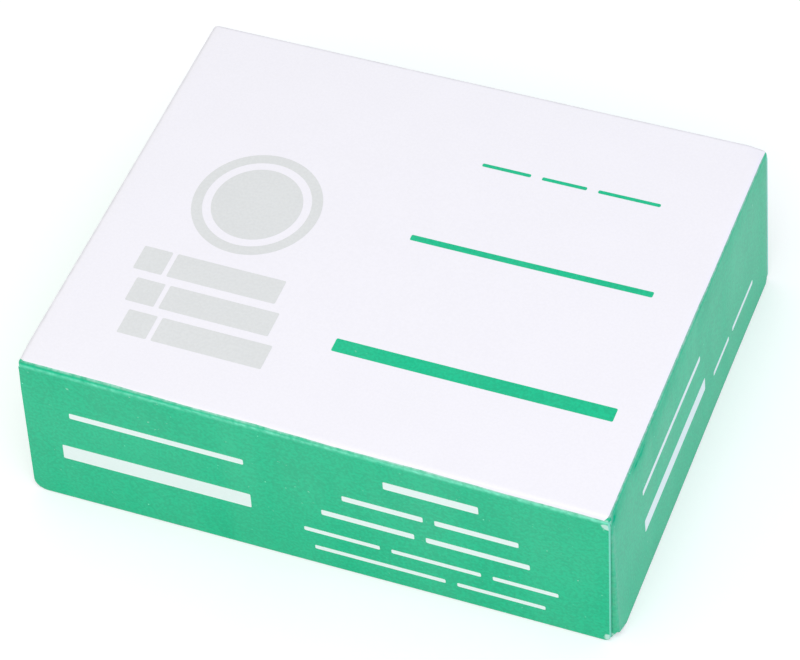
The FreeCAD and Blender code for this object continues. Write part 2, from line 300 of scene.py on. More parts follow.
def fold_sheet(name, half_x, half_y, top, depth, sizes, corners):
    """One die-cut sheet, folded down from a flat panel: two long walls with cut ends, and two end
    walls, whose glue flaps go behind the long walls. Only its outer skin, without thickness."""
    radius, collar = sizes.fold_radius, sizes.collar
    flat_x, flat_y = half_x - radius, half_y - radius
    fold_y = {place: half_y - sizes.thickness - corner.gap - corner.fold
              for place, corner in corners.items()}
    clear_selection()
    bpy.ops.mesh.primitive_grid_add(x_subdivisions=PANEL_COLUMNS, y_subdivisions=PANEL_ROWS,
                                    size=1, location=(0, 0, top))
    sheet = bpy.context.object
    sheet.name = name
    sheet.scale = (2 * flat_x, 2 * flat_y, 1)
    bpy.ops.object.transform_apply(location=True, rotation=True, scale=True)
    bpy.ops.object.mode_set(mode="EDIT")
    for (_, sign_y), fold in fold_y.items():
        cut_all((0, sign_y * fold, top), BACK)

    # The fold and the collar, on all four sides.
    for outward, flat in ((LEFT, flat_x), (RIGHT, flat_x), (FRONT, flat_y), (BACK, flat_y)):
        pick("edges", lambda co: near(co.dot(outward), flat) and near(co.z, top))
        for step in turn(radius, outward, DOWN, FOLD_STEPS):
            pull(step)
        pull((collar - radius) * DOWN)
    # The corners are spun from the long sides' ends until they meet the short sides.
    for sign_x, sign_y in corners:
        pick("edges", lambda co: near(co.x, sign_x * flat_x) and co.y * sign_y > flat_y - HAIR)
        bpy.ops.mesh.spin(steps=CORNER_STEPS, angle=math.pi / 2 * sign_x * sign_y,
                          axis=(0, 0, 1), center=(sign_x * flat_x, sign_y * flat_y, top))
    bpy.ops.mesh.select_all(action="SELECT")
    bpy.ops.mesh.remove_doubles(threshold=HAIR)

    drop_walls(half_x, half_y, top, depth, fold_y, sizes, corners)
    cut_corners(half_x, half_y, top, depth, sizes, corners)
    bpy.ops.mesh.select_all(action="SELECT")
    bpy.ops.mesh.remove_doubles(threshold=HAIR)
    bpy.ops.mesh.normals_make_consistent(inside=False)
    bpy.ops.object.mode_set(mode="OBJECT")
    return sheet


def drop_walls(half_x, half_y, top, depth, fold_y, sizes, corners):
    """Pulls a sheet's walls down to the rim, the long walls in towards their cut ends, and pulls
    the glue flaps out of the end walls."""
    flat_x, collar = half_x - sizes.fold_radius, sizes.collar
    rows = [sizes.neck] + [sizes.shoulder + (depth - sizes.shoulder) * index / WALL_ROWS
                           for index in range(WALL_ROWS + 1)]
    for sign_y in (-1, 1):
        pick("edges", lambda co: near(co.y, sign_y * half_y) and near(co.z, top - collar))
        ends, above = [-flat_x, flat_x], collar
        for row in rows:
            pull((0, 0, above - row))
            wanted = []
            for sign_x in (-1, 1):
                corner = corners[sign_x, sign_y]
                inset = sizes.neck_inset if row == sizes.neck else corner.inset
                wanted.append(sign_x * (half_x - inset - corner.gape * row / depth))
            stretch = (wanted[1] - wanted[0]) / (ends[1] - ends[0])
            bpy.ops.transform.resize(value=(stretch, 1, 1), center_override=(0, 0, 0))
            shift = (sum(wanted) - stretch * sum(ends)) / 2
            bpy.ops.transform.translate(value=(shift, 0, 0))
            ends, above = wanted, row
    for sign_x in (-1, 1):
        pick("edges", lambda co: (near(co.x, sign_x * half_x) and near(co.z, top - collar)
                                  and -fold_y[sign_x, -1] - HAIR < co.y
                                  < fold_y[sign_x, 1] + HAIR))
        above = collar
        for row in rows:
            pull((0, 0, above - row))
            above = row
        for sign_y in (-1, 1):
            pick("edges", lambda co: (near(co.x, sign_x * half_x)
                                      and near(co.y, sign_y * fold_y[sign_x, sign_y])
                                      and co.z < top - collar + HAIR))
            fold = corners[sign_x, sign_y].fold
            for step in turn(fold, (0, sign_y, 0), (-sign_x, 0, 0), CORNER_STEPS):
                pull(step)
            for _ in range(FLAP_COLUMNS):
                pull((-sign_x * (sizes.flap_length - fold) / FLAP_COLUMNS, 0, 0))
            bpy.ops.transform.resize(value=(1, 1, 1 - 2 * sizes.flap_relief / (depth - collar)),
                                     center_override=(0, 0, top - (depth + collar) / 2))


def cut_corners(half_x, half_y, top, depth, sizes, corners):
    """Rounds the corners at the rim of the long walls, and cuts off those of the end walls and
    their flaps."""
    for (sign_x, sign_y), corner in corners.items():
        edge = half_x - corner.inset - corner.gape
        pick("verts", lambda co: (near(co.x, sign_x * edge) and near(co.y, sign_y * half_y)
                                  and near(co.z, top - depth)))
        bpy.ops.mesh.bevel(offset=corner.long_round, affect="VERTICES", segments=ROUND_STEPS)
        run, rise, turned = corner.end_cut
        fold, rim = half_x - corner.fold, top - depth
        cuts = ((Vector((0, sign_y * (half_y - sizes.thickness - run), rim)),
                 Vector((0, sign_y * rise, -run)), (fold - HAIR, half_x + HAIR)),
                (Vector((sign_x * (fold - turned), 0, rim)),
                 Vector((sign_x * rise * (1 - corner.gap / run), 0, -turned)),
                 (fold - sizes.flap_length, fold + HAIR)))
        # First both lines are cut, then what lies past them is cleared away.
        for cleared in (False, True):
            for start, across, (low, high) in cuts:
                pick("faces", lambda co: (
                    co.y * sign_y > 0 and co.z < top - depth / 2 and low < co.x * sign_x < high
                    and abs(co.y) < half_y - sizes.thickness / 2
                    and not (cleared and (co - start).dot(across.normalized()) < -HAIR)))
                if cleared:
                    bpy.ops.mesh.delete(type="FACE")
                else:
                    bpy.ops.mesh.bisect(plane_co=start, plane_no=across.normalized(),
                                        threshold=HAIR)


def lid_half_sizes(sizes):
    """Half the length and width of the lid at its panel, from which its skirt springs out."""
    return ((LID_HIGH.x - LID_LOW.x - sizes.left_spring - sizes.right_spring) / 2,
            (LID_HIGH.y - LID_LOW.y - sizes.front_spring - sizes.back_spring) / 2)


# A line along a fold: its start, the way along it, which is as long as the fold, the way in which
# places off it are measured, and the way in which the surfaces that it counts for look.
Line = namedtuple("Line", "start along off facing")


def fold_line(sizes, outward, first=0, last=0):
    """A line over one of the lid's four folds, by how far outward and down it is at its start and
    at its end. The front and back lines start at the left, the others at the front."""
    half_x, half_y = lid_half_sizes(sizes)
    across = Vector((abs(outward.y), abs(outward.x), 0))
    half, reach = (half_x, half_y) if across.x else (half_y, half_x)
    start = (outward * (reach - sizes.fold_radius + first) - across * half
             + Vector((0, 0, LID_HIGH.z)))
    slope = across * (last - first) / (2 * half)
    return Line(start, 2 * half * across, outward + DOWN - slope, outward)


def print_edges(sheet, sizes, prints):
    """Cuts the lid's sheet along the edges of its green print, and leaves the panel inside them
    white."""
    flat_x, flat_y = (half - sizes.fold_radius for half in lid_half_sizes(sizes))
    edges = [fold_line(sizes, *place) for place in (
        (FRONT, prints.front_start, prints.front_end),
        (RIGHT, prints.right_start, prints.right_end),
        (BACK, prints.far_edge, prints.far_edge), (LEFT, prints.far_edge, prints.far_edge))]
    edit(sheet)
    for line in edges:
        flat = flat_x if line.facing.x else flat_y
        pick("faces", lambda co: (co.z > LID_HIGH.z - sizes.collar - HAIR
                                  and co.dot(line.facing) > flat - 10 * HAIR))
        bpy.ops.mesh.bisect(plane_co=line.start, plane_no=line.off)
    for face in bmesh.from_edit_mesh(sheet.data).faces:
        middle = face.calc_center_median()
        inside = all((middle - line.start).dot(line.off) < 0 for line in edges)
        face.material_index = 0 if inside else 1
    bmesh.update_edit_mesh(sheet.data)
    bpy.ops.object.mode_set(mode="OBJECT")


def thicken(sheet, materials, sizes):
    """Gives a sheet its five materials and its thickness, inward. The first two are its outside,
    the next two the lining behind them and the last its cut edges."""
    for material in materials:
        sheet.data.materials.append(material)
    apply_modifier(sheet, "SOLIDIFY", thickness=sizes.thickness, offset=-1, use_even_offset=True,
                   material_offset=LINING_SLOT, material_offset_rim=EDGE_SLOT)
    bpy.ops.object.shade_smooth_by_angle(angle=SMOOTH_ANGLE)


# ---- materials

def add_node(tree, kind, inputs=None, **settings):
    """Adds a node with its settings, and links or sets its inputs. Returns its outputs."""
    made = tree.nodes.new(kind)
    for setting, value in settings.items():
        setattr(made, setting, value)
    for key, value in (inputs or {}).items():
        if isinstance(value, bpy.types.NodeSocket):
            tree.links.new(value, made.inputs[key])
        else:
            made.inputs[key].default_value = value
    return made.outputs


def new_material(name, viewport):
    """A material with an empty node tree but for its output."""
    material = bpy.data.materials.new(name)
    material.use_nodes = True
    material.diffuse_color = (*viewport, 1)
    tree = material.node_tree
    tree.nodes.clear()
    return material, tree


def per(size):
    """The scale at which a pattern repeats about once in a size in millimetres."""
    return 1 / (size * MM)


# Sizes of the board's own unevenness in millimetres: its clouds and waves across, and how high its
# waves and its grain are. Then the width of the streaks in its sheen, and of a flake of its ink.
CLOUD, WAVE, WAVE_HEIGHT, GRAIN_HEIGHT = 7, 11, 0.12, 0.03
STREAK, FLAKE = 5, 0.7


def board_material(name, tint, mottle, grain, roughness, bump, ior=1.5):
    """Board: a colour with cloudy mottle and a fine grain, and a surface that waves a little."""
    material, tree = new_material(name, tint)
    place = add_node(tree, "ShaderNodeTexCoord")["Object"]
    cloud, fine, wave = (
        add_node(tree, "ShaderNodeTexNoise",
                 {"Vector": place, "Scale": per(size), "Detail": detail})["Fac"]
        for size, detail in ((CLOUD, 3), (grain, 2), (WAVE, 1)))
    # The grain counts three times as much as the clouds, and their sum is 2 in the middle.
    blend = add_node(tree, "ShaderNodeMath", {0: fine, 1: 3.0, 2: cloud}, operation="MULTIPLY_ADD")
    level = add_node(tree, "ShaderNodeMapRange",
                     {"Value": blend[0], "From Min": 1.6, "From Max": 2.4,
                      "To Min": 1 - mottle, "To Max": 1 + mottle})
    base = add_node(tree, "ShaderNodeVectorMath", {0: tint, "Scale": level[0]}, operation="SCALE")
    swell = add_node(tree, "ShaderNodeBump",
                     {"Height": wave, "Strength": 1.0, "Distance": WAVE_HEIGHT * MM})
    lift = add_node(tree, "ShaderNodeBump",
                    {"Height": fine, "Strength": bump, "Distance": GRAIN_HEIGHT * MM,
                     "Normal": swell[0]})
    shader = add_node(tree, "ShaderNodeBsdfPrincipled",
                      {"Base Color": base[0], "Roughness": roughness, "IOR": ior,
                       "Normal": lift[0]})
    add_node(tree, "ShaderNodeOutputMaterial", {"Surface": shader[0]})
    return material


def speck(material, tint, spacing, width, share):
    """Scatters small soft specks of a tint over a material. share is how many places have one."""
    tree = material.node_tree
    place = add_node(tree, "ShaderNodeTexCoord")["Object"]
    cell = add_node(tree, "ShaderNodeTexVoronoi", {"Vector": place, "Scale": per(spacing)})
    radius, soft = width / spacing / 2, 0.3
    spot = add_node(tree, "ShaderNodeMapRange",
                    {"Value": cell["Distance"], "From Min": (1 - soft) * radius,
                     "From Max": (1 + soft) * radius, "To Min": 1, "To Max": 0})
    chance = add_node(tree, "ShaderNodeSeparateColor", {"Color": cell["Color"]})
    chosen = add_node(tree, "ShaderNodeMath", {0: chance["Red"], 1: share}, operation="LESS_THAN")
    both = add_node(tree, "ShaderNodeMath", {0: spot[0], 1: chosen[0]}, operation="MULTIPLY")
    mix_in(material, tint, both[0])


def mix_in(material, tint, factor):
    """Lays a tint over a material's colour, where a node's factor says."""
    tree = material.node_tree
    target = tree.nodes["Principled BSDF"].inputs["Base Color"]
    mixed = add_node(tree, "ShaderNodeMix",
                     {"Factor": factor, "A": target.links[0].from_socket, "B": (*tint, 1)},
                     data_type="RGBA")
    tree.links.new(mixed["Result"], target)


# A band along a line: how far off the line it begins, is strongest and ends, in millimetres, and
# how strong it is where the line starts and where it ends.
Band = namedtuple("Band", "low peak high first last")

# A noise stays between these for nearly all of its area.
NOISE_LOW, NOISE_HIGH = 0.3, 0.7


def band_factor(tree, line, band):
    """How strong an uneven band along a line is, from 0 up, in nodes. Its patches are a little
    smaller than it is wide."""
    there = add_node(tree, "ShaderNodeTexCoord")
    ragged = add_node(tree, "ShaderNodeTexNoise",
                      {"Vector": there["Object"], "Scale": per(0.8 * (band.high - band.low)),
                       "Detail": 3})
    away = add_node(tree, "ShaderNodeVectorMath", {0: there["Object"], 1: line.start},
                    operation="SUBTRACT")[0]
    off, share, facing, sideways = (
        add_node(tree, "ShaderNodeVectorMath", {0: vector, 1: way},
                 operation="DOT_PRODUCT")["Value"]
        for vector, way in ((away, line.off), (away, line.along / line.along.length_squared),
                            (there["Normal"], line.facing),
                            (there["Normal"], line.along.normalized())))
    # A face that looks more along the line than off it belongs to a neighbouring wall.
    sideways = add_node(tree, "ShaderNodeMath", {0: sideways}, operation="ABSOLUTE")[0]
    ahead = add_node(tree, "ShaderNodeMath", {0: facing, 1: sideways}, operation="SUBTRACT")[0]
    factor = 1.0
    for value, start, end, low, high, ease in (
            (ahead, 0.05, 0.2, 0, 1, "LINEAR"),
            (off, band.low * MM, band.peak * MM, 0, 1, "SMOOTHSTEP"),
            (off, band.peak * MM, band.high * MM, 1, 0, "SMOOTHSTEP"),
            (share, 0, 1, band.first, band.last, "LINEAR"),
            (ragged["Fac"], NOISE_LOW, NOISE_HIGH, 0.3, 1.7, "LINEAR")):
        part = add_node(tree, "ShaderNodeMapRange",
                        {"Value": value, "From Min": start, "From Max": end, "To Min": low,
                         "To Max": high}, interpolation_type=ease)[0]
        factor = add_node(tree, "ShaderNodeMath", {0: factor, 1: part}, operation="MULTIPLY")[0]
    return factor


def dull_folds(material, bands):
    """Takes sheen off in bands along lines, and lets it vary in upright streaks elsewhere."""
    tree = material.node_tree
    place = add_node(tree, "ShaderNodeTexCoord")["Object"]
    drawn = add_node(tree, "ShaderNodeVectorMath", {0: place, 1: (1, 1, 0.1)}, operation="MULTIPLY")
    streak = add_node(tree, "ShaderNodeTexNoise",
                      {"Vector": drawn[0], "Scale": per(STREAK), "Detail": 2})
    sheen = add_node(tree, "ShaderNodeMapRange",
                     {"Value": streak["Fac"], "From Min": NOISE_LOW, "From Max": NOISE_HIGH,
                      "To Min": 0.36, "To Max": 0.64})[0]
    for line, band in bands:
        left = add_node(tree, "ShaderNodeMath", {0: 1.0, 1: band_factor(tree, line, band)},
                        operation="SUBTRACT", use_clamp=True)
        sheen = add_node(tree, "ShaderNodeMath", {0: sheen, 1: left[0]}, operation="MULTIPLY")[0]
    tree.links.new(sheen, tree.nodes["Principled BSDF"].inputs["Specular IOR Level"])


def flake_spots(material, tint, spots):
    """Flakes the ink off down to the board around spots, each a point and a radius in millimetres,
    with a ragged edge."""
    tree = material.node_tree
    place = add_node(tree, "ShaderNodeTexCoord")["Object"]
    ragged = add_node(tree, "ShaderNodeTexNoise",
                      {"Vector": place, "Scale": per(FLAKE), "Detail": 3})
    for spot, radius in spots:
        away = add_node(tree, "ShaderNodeVectorMath", {0: place, 1: spot}, operation="DISTANCE")
        closeness = add_node(tree, "ShaderNodeMapRange",
                             {"Value": away["Value"], "From Max": radius * MM,
                              "To Min": 1.0, "To Max": 0.0})
        torn = add_node(tree, "ShaderNodeMath", {0: closeness[0], 1: ragged["Fac"]},
                        operation="ADD")
        bare = add_node(tree, "ShaderNodeMapRange",
                        {"Value": torn[0], "From Min": 0.72, "To Max": 0.85})
        mix_in(material, tint, bare[0])


def glass_material(tint, ground, frosted):
    """Slide glass: soda-lime glass, drawn and cut, clear on its two large faces, which look along
    Y, with ground edges, and sandblasted on one face past a place along X. A stack shows only
    edges: milky, pale grey-green and finely scratched."""
    material, tree = new_material("ground_edge_float_glass", ground)
    there = add_node(tree, "ShaderNodeTexCoord")
    looks = add_node(tree, "ShaderNodeSeparateXYZ", {0: there["Normal"]})["Y"]
    place = add_node(tree, "ShaderNodeSeparateXYZ", {0: there["Object"]})["X"]
    square = 0.9    # a large face looks at least this far along Y
    front = add_node(tree, "ShaderNodeMath", {0: looks, 1: -square}, operation="LESS_THAN")[0]
    end = add_node(tree, "ShaderNodeMath", {0: place, 1: frosted}, operation="GREATER_THAN")[0]
    frost = add_node(tree, "ShaderNodeMath", {0: front, 1: end}, operation="MULTIPLY")[0]
    looks = add_node(tree, "ShaderNodeMath", {0: looks}, operation="ABSOLUTE")[0]
    edge = add_node(tree, "ShaderNodeMath", {0: looks, 1: square}, operation="LESS_THAN")[0]
    edge = add_node(tree, "ShaderNodeMath", {0: edge, 1: frost}, operation="MAXIMUM")[0]
    # The wheel leaves scratches of a few hundredths of a millimetre along the edge. They are drawn
    # at 0.25 mm across it and 8 mm along it, so that they show.
    drawn = add_node(tree, "ShaderNodeVectorMath", {0: there["Object"], 1: (0.03, 1, 0.3)},
                     operation="MULTIPLY")
    scratch = add_node(tree, "ShaderNodeTexNoise",
                       {"Vector": drawn[0], "Scale": per(0.25), "Detail": 3})
    level = add_node(tree, "ShaderNodeMapRange",
                     {"Value": scratch["Fac"], "From Min": NOISE_LOW, "From Max": NOISE_HIGH,
                      "To Min": 0.82, "To Max": 1.1})
    matt = add_node(tree, "ShaderNodeVectorMath", {0: ground, "Scale": level[0]}, operation="SCALE")
    base = add_node(tree, "ShaderNodeMix", {"Factor": edge, "A": (*tint, 1), "B": matt[0]},
                    data_type="RGBA")
    rough = add_node(tree, "ShaderNodeMapRange", {"Value": edge, "To Min": 0.02, "To Max": 0.55})
    clear = add_node(tree, "ShaderNodeMapRange", {"Value": edge, "To Min": 1.0, "To Max": 0.3})
    shader = add_node(tree, "ShaderNodeBsdfPrincipled",
                      {"Base Color": base["Result"], "Roughness": rough[0], "IOR": 1.52,
                       "Transmission Weight": clear[0]})
    add_node(tree, "ShaderNodeOutputMaterial", {"Surface": shader[0]})
    return material


# ---- operators

def lid_corners(sizes):
    """The lid's corners, by the signs of their X and Y. Those at the right fold tightly, and the
    front wall's cut end gapes open there."""
    rounded = 3 * (sizes.rim_round,)
    worn = (sizes.worn_round, sizes.worn_rise, sizes.worn_round)
    slant = (sizes.slant_run, sizes.slant_rise, sizes.slant_turn)
    loose, tight = sizes.corner_radius, sizes.tight_radius
    return {(-1, -1): Corner(sizes.cut_inset, sizes.gape, sizes.worn_round, worn, loose,
                             sizes.glue_gap),
            (1, -1): Corner(sizes.close_inset, sizes.open_gape, sizes.rim_round, slant, tight,
                            sizes.open_gap),
            (1, 1): Corner(sizes.close_inset, 0, sizes.rim_round, rounded, tight, sizes.glue_gap),
            (-1, 1): Corner(sizes.cut_inset, sizes.gape, sizes.rim_round, rounded, loose,
                            sizes.glue_gap)}


def wear_print_and_paint_fold_light(green, sizes, prints, colours):
    """Cracks, rubs, dulls and flakes the green ink along folds and at the front right corner, and
    paints shade, a highlight and a sheen along the folds.
    """
    tree = green.node_tree
    # Along the front fold: painted shade over the fold's curve, flakes at the print's edge, and
    # below them cracks in the ink, drawn pale, which are also a painted highlight.
    for first, last, tint, band in (
            (0, 0, colours.painted_shade_green, Band(0, 0.55, 1.1, 0.25, 0)),
            (prints.front_start, prints.front_end, colours.flaked,
             Band(-0.4, 0.05, 0.65, 0.36, 0.4)),
            # The pale band below the front fold is partly cracked ink and partly a painted
            # highlight on the fold's lower edge.
            (0, 0.4 * MM, colours.rubbed, Band(0.85, 1.25, 1.9, 0.4, 0.7))):
        line = fold_line(sizes, FRONT, first, last)
        mix_in(green, tint, band_factor(tree, line, band))
    corner = Vector((*lid_half_sizes(sizes), LID_HIGH.z)) * Vector((1, -1, 1))
    front, right = (fold_line(sizes, FRONT),
                    fold_line(sizes, RIGHT, prints.right_start, prints.right_end))
    upright = Line(corner, LID_DEPTH * DOWN, BACK, RIGHT + FRONT)
    # Grey rubbed into the ink along the right fold, and a fainter grey down the fold beside the cut
    # end, which is a painted sheen on that fold.
    for line, band in ((right, Band(-0.4, 0, 0.6, 0.45, 0.5)),
                       (upright, Band(0.5, 0.7, 1.9, 0.14, 0.07))):
        mix_in(green, colours.worn, band_factor(tree, line, band))
    dull_folds(green, ((right, Band(-0.4, 1.5, 6.5, 0.65, 0.25)),
                       (right, Band(12, 27, 40, 0.3, 0.1)), (front, Band(10, 24, 60, 0.3, 0.25))))
    flake_spots(green, colours.flaked, ((corner + Vector((-0.5, 0, -1.95)) * MM, 0.9),
                                        (corner + Vector((-0.8, 0, -26.5)) * MM, 1.2)))


class SLIDEBOX_OT_lid(bpy.types.Operator):
    """Folds the printed lid"""

    bl_idname = "slidebox.lid"
    bl_label = "Fold the lid"

    def execute(self, context):
        sizes, prints = context.scene.board_sizes, context.scene.print_sizes
        colours = context.scene.box_colours
        half_x, half_y = lid_half_sizes(sizes)
        lid = fold_sheet("lid_board", half_x, half_y, LID_HIGH.z, LID_DEPTH, sizes,
                         lid_corners(sizes))
        print_edges(lid, sizes, prints)
        dent(lid, Vector((half_x, half_y, LID_HIGH.z)), sizes.crush * DOWN, sizes.crush_reach,
             sizes)
        dent(lid, Vector((-half_x, -half_y, LID_HIGH.z)), sizes.knock * RIGHT, sizes.knock_reach,
             sizes)
        warp_lid(lid, sizes)
        # Folding boxboard, coated with clay and calendered: nearly white, smooth, with a low sheen
        # and a few grey specks where the coating has picked up dirt.
        white = board_material("calendered_clay_coated_boxboard", colours.white, 0.01, 0.35, 0.42,
                               0.15)
        speck(white, colours.worn, 6, 0.22, 0.25)
        # The white is greyed along the back and left folds: painted shade on the curve of each
        # fold, which turns away from the lamp.
        for side in (BACK, LEFT):
            painted_fold_shade = band_factor(white.node_tree, fold_line(sizes, side),
                              Band(-0.3, 0.6, 2, 0.25, 0.25))
            mix_in(white, colours.worn, painted_fold_shade)
        # The same board with a solid of green ink, offset printed in one pass: the ink takes
        # unevenly, so it is mottled, and its thin film is a little duller than varnish. It cracks
        # and flakes along the folds, which shows the board, and its colour there also carries
        # painted shade, a painted highlight and a painted sheen. The mottle of a print is about 0.1
        # mm, drawn here at 0.4 mm so that it shows.
        green = board_material("offset_printed_boxboard", colours.green, 0.08, 0.4, 0.42, 1.0,
                               ior=1.4)
        speck(green, colours.rubbed, 1.7, 0.2, 0.12)
        wear_print_and_paint_fold_light(green, sizes, prints, colours)
        # The inside is bare pulp, pressed from long fibres: matt, warm and cloudy. Fibres are finer
        # than 0.05 mm, so only their 0.5 mm clumps are drawn.
        lining = board_material("uncoated_pulp_board", colours.lining, 0.03, 0.5, 0.9, 0.6)
        # The die cuts through the board and draws the ink over its soft edge, which looks pale
        # green.
        core = board_material("die_cut_printed_edge", colours.smeared, 0.03, 0.3, 0.9, 0.6)
        thicken(lid, (white, green, lining, lining, core), sizes)
        scuff_edge(lid, sizes)
        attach(lid, "lid")
        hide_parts("lid")
        return {"FINISHED"}


DENT_CUTS = (0.35, 0.6, 0.8, 1)     # where the board is divided, as shares of a dent's reach


def dent(sheet, corner, step, reach, sizes):
    """Pushes a corner of the sheet's panel by a step, less and less around it."""
    edit(sheet)
    inward = Vector((-math.copysign(1, corner.x), -math.copysign(1, corner.y), 0))
    for share in DENT_CUTS:
        for axis in (RIGHT, BACK):
            cut_all(corner + inward * (sizes.fold_radius + share * reach), axis)
    pick("verts", lambda co: (co - corner).length < sizes.fold_radius)
    bpy.ops.transform.translate(value=step, use_proportional_edit=True,
                                proportional_edit_falloff="SMOOTH", proportional_size=reach)
    bpy.ops.object.mode_set(mode="OBJECT")


def scuff_edge(lid, sizes):
    """Bevels the front right corner's cut end down to the bare board."""
    half_x, half_y = lid_half_sizes(sizes)
    edit(lid)

    def on_edge(co):
        """Whether a point is on the outer edge of the cut end, under the collar and over the
        rounding at the rim."""
        fallen = (LID_HIGH.z - co.z) / LID_DEPTH
        end = half_x - sizes.close_inset - (sizes.open_gape - sizes.right_spring) * fallen
        return (abs(co.x - end) < 0.2 * MM and co.y < -half_y + 0.25 * MM and fallen > 0.03
                and co.z > LID_LOW.z + sizes.rim_round / 2)

    pick("edges", on_edge)
    bpy.ops.mesh.bevel(offset=sizes.scuff, segments=2, material=EDGE_SLOT)
    bpy.ops.object.mode_set(mode="OBJECT")


WANDER_SEED, WANDER_POINTS = 3, (7, 6, 4)   # the lattice in which the lid's board wanders


def warp_lid(piece, sizes):
    """Sinks the lid's panel a little, lets its board wander inward from flat and springs its
    skirt outward."""
    half_x, half_y = lid_half_sizes(sizes)
    low, high = Vector((-half_x, -half_y, LID_LOW.z)), Vector((half_x, half_y, LID_HIGH.z))
    chance = random.Random(WANDER_SEED)
    counts = WANDER_POINTS
    wander = {(x, y, z): chance.random() * sizes.unevenness
              for x in range(counts[0]) for y in range(counts[1]) for z in range(counts[2])}

    def settle(place):
        """The step inward of one lattice point, by the face of the box that it lies on."""
        spot = tuple(round(part * (count - 1)) for part, count in zip(place, counts))
        depth = wander[spot]
        inner = [0 < index < count - 1 for index, count in zip(spot, counts)]
        middle = (1 - (2 * place.x - 1) ** 2) * (1 - (2 * place.y - 1) ** 2)
        if inner[0] and inner[1]:
            return (depth + sizes.sag * middle) * place.z * DOWN
        if inner[1] and place.z < 0.9:
            return (depth if place.x < 0.5 else -depth, 0, 0)
        if inner[0] and place.z < 0.9:
            return (0, depth if place.y < 0.5 else -depth, 0)
        return (0, 0, 0)

    def spring(place):
        """The step outward of one corner of the skirt."""
        across = sizes.right_spring if place.x > 0.5 else -sizes.left_spring
        forward = 0 if place.x > 0.5 else -sizes.front_spring
        if place.y > 0.5:
            forward = sizes.back_spring
        return Vector((across, forward, 0)) * (1 - place.z)

    warp(piece, low, high, counts, "KEY_BSPLINE", settle)
    warp(piece, low, high, (2, 2, 2), "KEY_LINEAR", spring)


# Each row of print in millimetres: its lowest and highest place, how much of that height its
# plain bars fill, and the start and end of each.
Row = namedtuple("Row", "low high share bars")
TOP_ROWS = (Row(16.9, 19.7, 0.2, ((5.2, 12.2), (13.8, 20.2), (21.8, 30.6))),
            Row(1.4, 5.2, 0.25, ((0.6, 34.6),)),
            Row(-21.5, -12.4, 0.24, ((-2.2, 36.4),)))
FRONT_ROWS = (Row(17.1, 20.0, 0.37, ((-34.0, -9.1),)),
              Row(6.2, 14.4, 0.35, ((-35.6, -8.6),)),
              Row(19.9, 23.5, 0.42, ((10.5, 23.4),)),
              Row(15.0, 17.8, 0.38, ((4.5, 15.6), (17.2, 28.5))),
              Row(10.7, 13.5, 0.38, ((1.4, 14.2), (15.8, 29.8))),
              Row(6.1, 8.8, 0.3, ((-1.3, 9.2), (10.8, 23.0), (24.6, 33.4))),
              Row(2.5, 5.1, 0.3, ((0.0, 18.0), (19.6, 31.5))))
RIGHT_ROWS = (Row(16.1, 18.9, 0.36, ((-20.7, 2.6),)),
              Row(6.6, 13.6, 0.35, ((-20.5, 4.3),)),
              Row(6.4, 8.8, 0.36, ((8.0, 14.6), (16.2, 25.2))))
# The figure is a lens in its ring, over three slides with frosted ends, each further right.
LENS_MIDDLE, LENS_STEPS = Vector((-21.5, 2.5, 0)) * MM, 64
FIGURE_ROWS = tuple(Row(low, low + 4.1, 1, ((left, left + 4.2), (left + 4.9, left + 20.7)))
                    for left, low in ((-33, -13), (-31.7, -18.4), (-30.4, -23.8)))


def add_rows(rows, corner):
    """Adds the flat bars of some rows, with rounded corners, to the mesh that is being edited."""
    for row in rows:
        middle, height = (row.low + row.high) / 2 * MM, row.share * (row.high - row.low) * MM
        for start, end in row.bars:
            place = ((start + end) / 2 * MM, middle, 0)
            bpy.ops.mesh.primitive_plane_add(size=1, location=place)
            bpy.ops.transform.resize(value=((end - start) * MM, height, 1), center_override=place)
            bpy.ops.mesh.bevel(offset=corner, affect="VERTICES", segments=3)


def add_lens(prints):
    """Adds the figure's ring and the disc inside it to the mesh that is being edited."""
    inner = prints.lens_radius - prints.lens_ring - prints.lens_gap
    for radius, hollow in ((prints.lens_radius, True), (inner, False)):
        bpy.ops.mesh.primitive_circle_add(vertices=LENS_STEPS, radius=radius,
                                          location=LENS_MIDDLE, fill_type="NGON")
        if hollow:
            bpy.ops.mesh.inset(thickness=prints.lens_ring)
            bpy.ops.mesh.delete(type="FACE")


def start_layer(name):
    """An empty mesh, being edited, for one layer of print."""
    clear_selection()
    bpy.ops.mesh.primitive_plane_add(size=1)
    layer = bpy.context.object
    layer.name = name
    bpy.ops.object.mode_set(mode="EDIT")
    bpy.ops.mesh.delete(type="VERT")
    return layer


def finish_layer(layer, turned, step, prints, sizes, material):
    """Cuts a flat layer so that it can bend, stands it on its face of the lid and bends it."""
    reach = LID_HIGH.x
    count = round(2 * reach / prints.cut)
    for axis in (RIGHT, BACK):
        for index in range(1, count):
            cut_all(axis * reach * (2 * index / count - 1), axis)
    bpy.ops.object.mode_set(mode="OBJECT")
    apply_modifier(layer, "SOLIDIFY", thickness=prints.ink, offset=1)
    layer.rotation_euler = turned
    layer.location = step
    bpy.ops.object.transform_apply(location=True, rotation=True, scale=True)
    warp_lid(layer, sizes)
    layer.data.materials.append(material)
    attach(layer, "lid")


